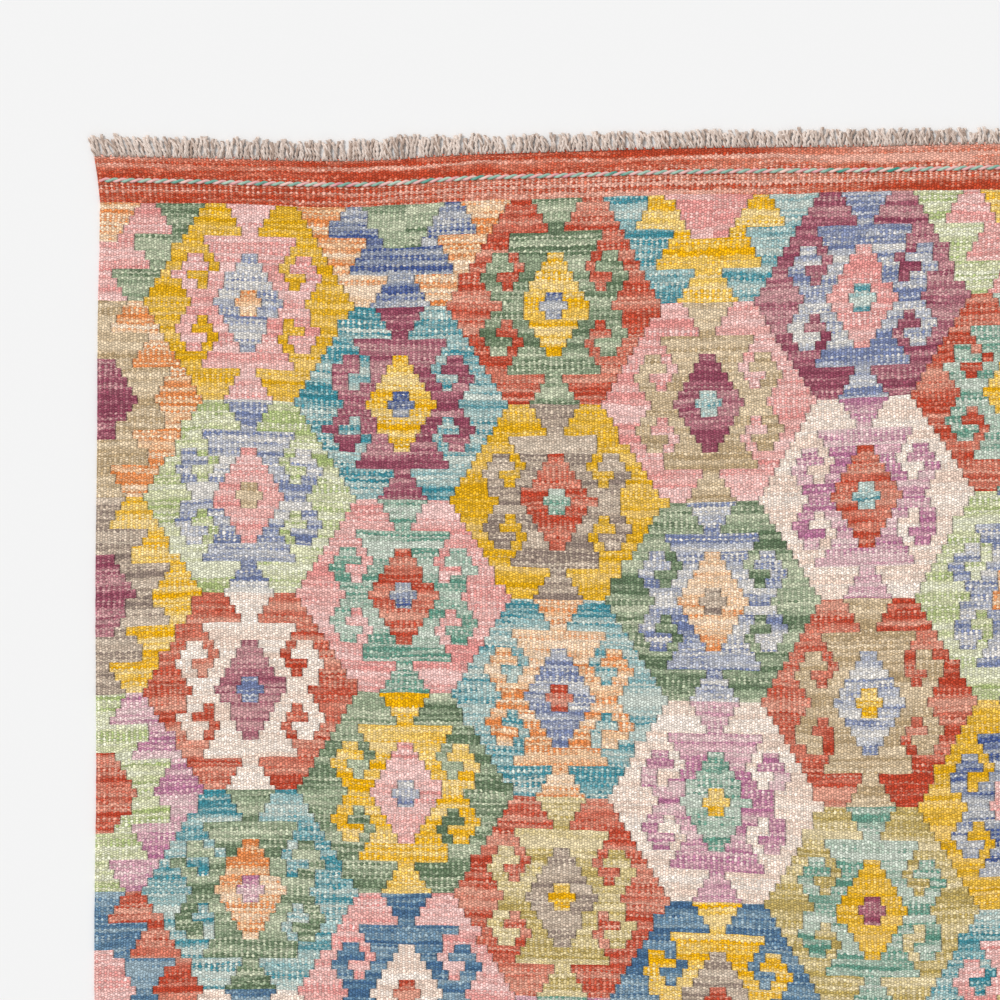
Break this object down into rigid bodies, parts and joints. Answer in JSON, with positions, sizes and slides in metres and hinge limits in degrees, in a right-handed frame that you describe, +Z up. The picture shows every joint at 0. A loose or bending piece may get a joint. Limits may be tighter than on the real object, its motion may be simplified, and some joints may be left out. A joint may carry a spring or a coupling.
{
  "type": "kilim rug",
  "caption": "Flat handwoven wool kilim rug with interlocking hexagon medallions in mixed colours, plain end bands and short cut fringes.",
  "frame": {"origin": "centre of the bounding box, on the underside that lies on the floor", "axes": "+X along the wefts to the right of the pattern, +Y along the warps to the far end, +Z up out of the woven face"},
  "size_m": [1.01, 1.5528, 0.003],
  "materials": {
    "dyed_wool_weave": "matt slit-woven wool in many dyed colours",
    "warp_yarn": "matt undyed grey-beige twisted yarn"
  },
  "bodies": {
    "root": {"rug_body": "dyed_wool_weave", "fringe_top": "warp_yarn", "fringe_bottom": "warp_yarn"}
  },
  "joints": []
}
